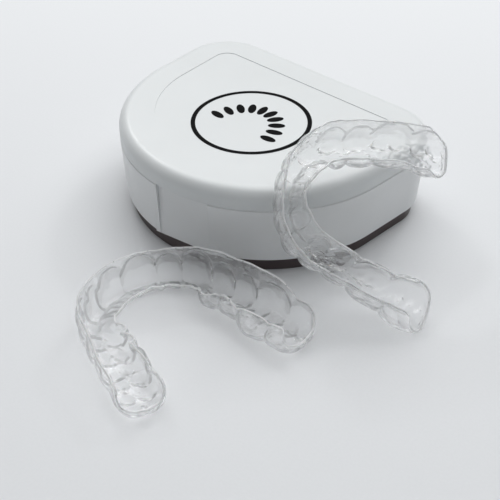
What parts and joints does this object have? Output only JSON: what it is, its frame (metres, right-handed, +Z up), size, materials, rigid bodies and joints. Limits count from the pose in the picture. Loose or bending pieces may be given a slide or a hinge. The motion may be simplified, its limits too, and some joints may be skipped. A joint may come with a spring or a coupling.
{
  "type": "mouthguard with case",
  "caption": "Flat D-shaped hinged case with a round front, and clear upper and lower tooth trays beside it.",
  "frame": {"origin": "on the flat foot of the case, below the centre of its round front", "axes": "+X along the hinge, +Y to the hinge side, +Z up, out of the lid"},
  "size_m": [0.1114, 0.1225, 0.0413],
  "materials": {
    "case_plastic": "smooth moulded white polypropylene",
    "pin_plastic": "smooth white",
    "print_ink": "black printed ink",
    "clear_tray": "clear thermoformed plastic sheet"
  },
  "bodies": {
    "base": {"case_base": "case_plastic", "hinge_pin": "pin_plastic"},
    "lid": {"case_lid": "case_plastic", "lid_print": "print_ink"},
    "upper_tray": {"upper_tray": "clear_tray"},
    "lower_tray": {"lower_tray": "clear_tray"}
  },
  "joints": [
    {"name": "lid_hinge", "type": "hinge", "parent": "base", "child": "lid", "pos_m": [0, 0.0294, 0.0198], "axis": [-1, 0, 0], "range_deg": [0, 120]},
    {"name": "upper_tray_lift", "type": "slide", "parent": "base", "child": "upper_tray", "axis": [0, -0.853, 0.5219], "range_m": [0, 0.06]},
    {"name": "lower_tray_lift", "type": "slide", "parent": "base", "child": "lower_tray", "axis": [0.9016, -0.1002, 0.4208], "range_m": [0, 0.108]}
  ],
  "couplings": [
    {"joint": "lower_tray_lift", "follows": "lid_hinge", "m_per_rad": 0.0515}
  ]
}
